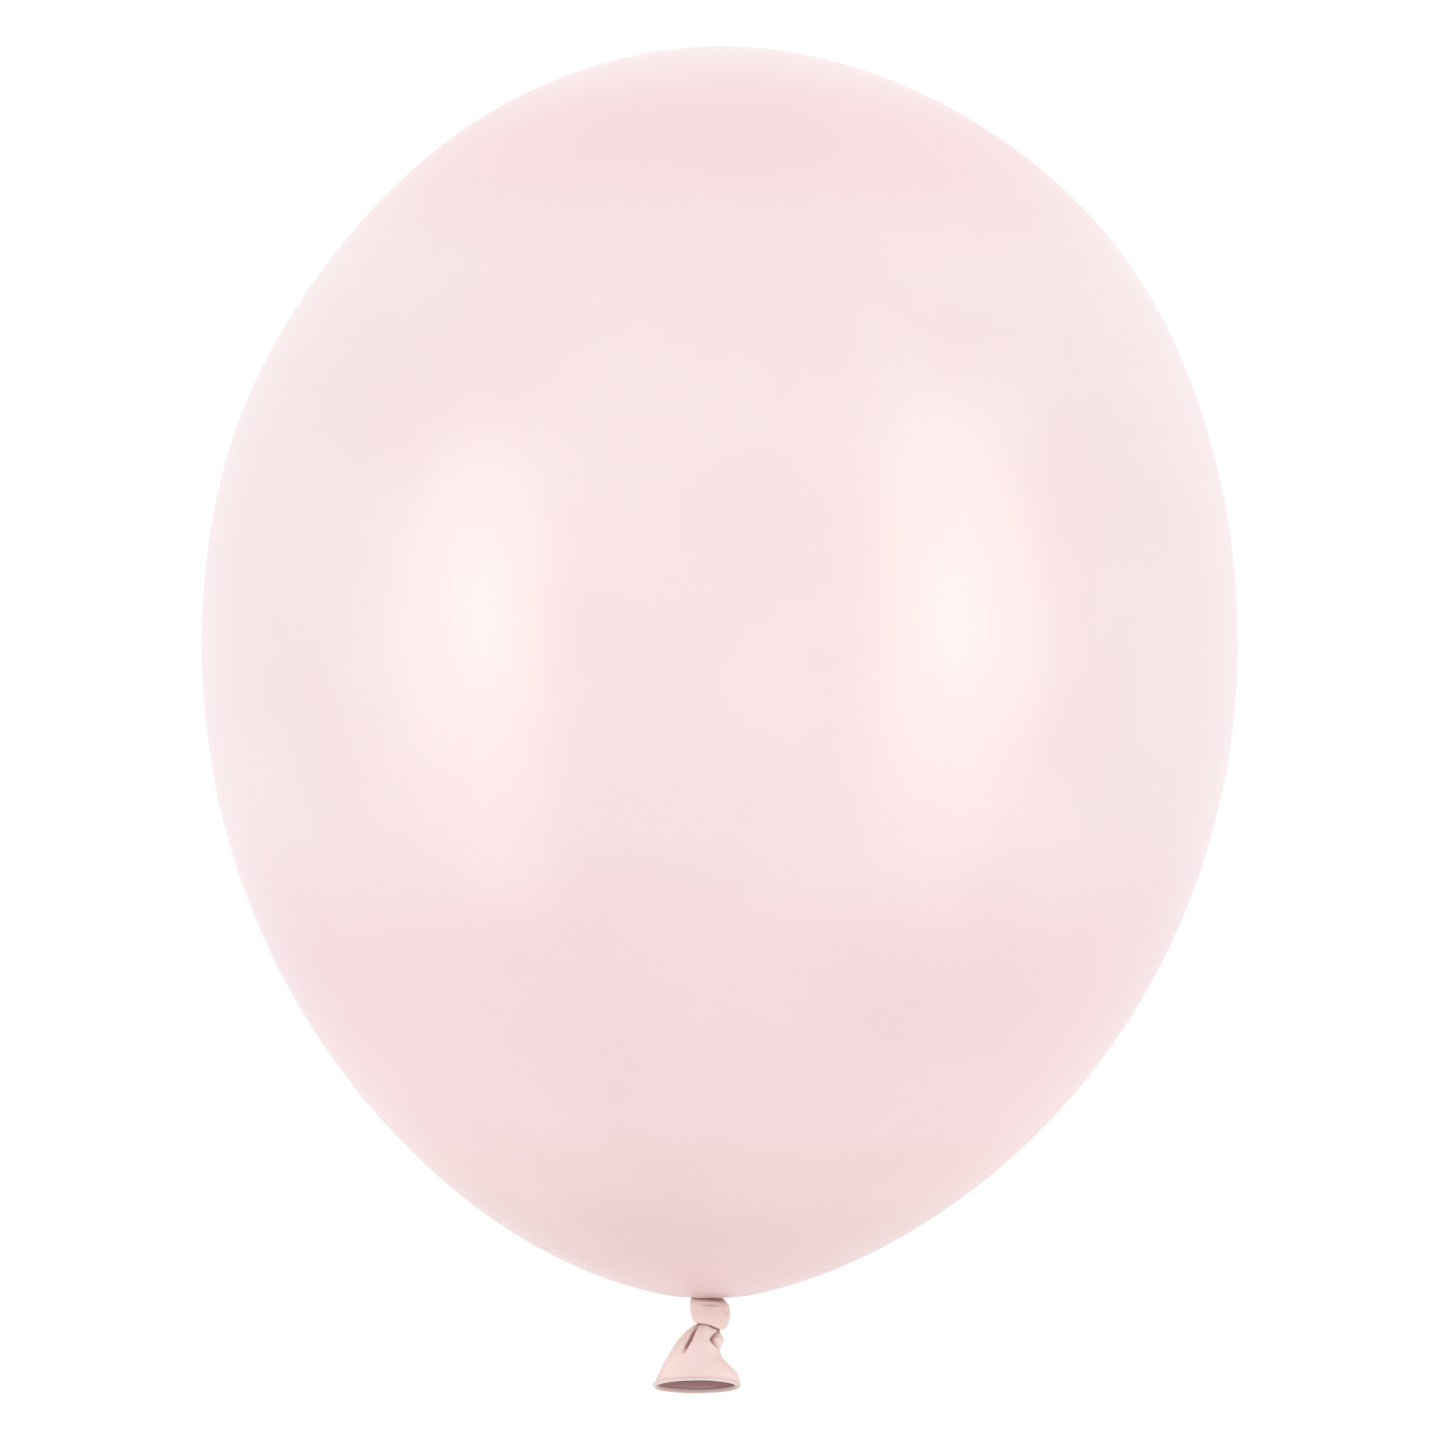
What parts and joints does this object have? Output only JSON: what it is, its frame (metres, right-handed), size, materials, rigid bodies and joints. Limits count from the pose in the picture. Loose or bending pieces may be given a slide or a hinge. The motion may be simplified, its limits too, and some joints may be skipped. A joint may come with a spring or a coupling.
{
  "type": "latex balloon",
  "caption": "Blown-up latex party balloon, tied off in an overhand knot, with a slack tail that ends in a rolled lip.",
  "frame": {"origin": "the tie: where the film is drawn together between the blown body and the knot", "axes": "+Z from the knot up to the crown, +X to the side away from which the tail runs, -Y the side that the mouth of the tail turns to"},
  "size_m": [0.3, 0.3, 0.3909],
  "materials": {
    "latex_body": "gloss",
    "latex_gathers": "satin",
    "latex_knot": "satin",
    "latex_tail": "satin",
    "latex_lip": "satin"
  },
  "bodies": {
    "balloon": {"balloon_skin": "latex_body"},
    "throat": {"neck_throat": "latex_gathers"},
    "knot": {"knot_loop": "latex_knot", "knot_core": "latex_knot"},
    "tail_root": {"tail_neck": "latex_gathers"},
    "tail": {"tail_skirt": "latex_tail", "rolled_lip": "latex_lip"}
  },
  "joints": [
    {"name": "neck_twist", "type": "hinge", "parent": "balloon", "child": "throat", "pos_m": [0, 0, 0.0027], "axis": [0, 0, 1], "range_deg": [-60, 60], "stiffness_Nm_per_rad": 0.0004},
    {"name": "knot_tilt", "type": "hinge", "parent": "throat", "child": "knot", "pos_m": [0, 0, -0.0029], "axis": [0, 1, 0], "range_deg": [-18, 18], "stiffness_Nm_per_rad": 0.001},
    {"name": "tail_pitch", "type": "hinge", "parent": "knot", "child": "tail_root", "pos_m": [0, 0, -0.0064], "axis": [1, 0, 0], "range_deg": [-25, 25], "stiffness_Nm_per_rad": 0.0004},
    {"name": "tail_sway", "type": "hinge", "parent": "tail_root", "child": "tail", "pos_m": [0, 0, -0.0109], "axis": [0, 1, 0], "range_deg": [-30, 30], "stiffness_Nm_per_rad": 0.0004}
  ]
}
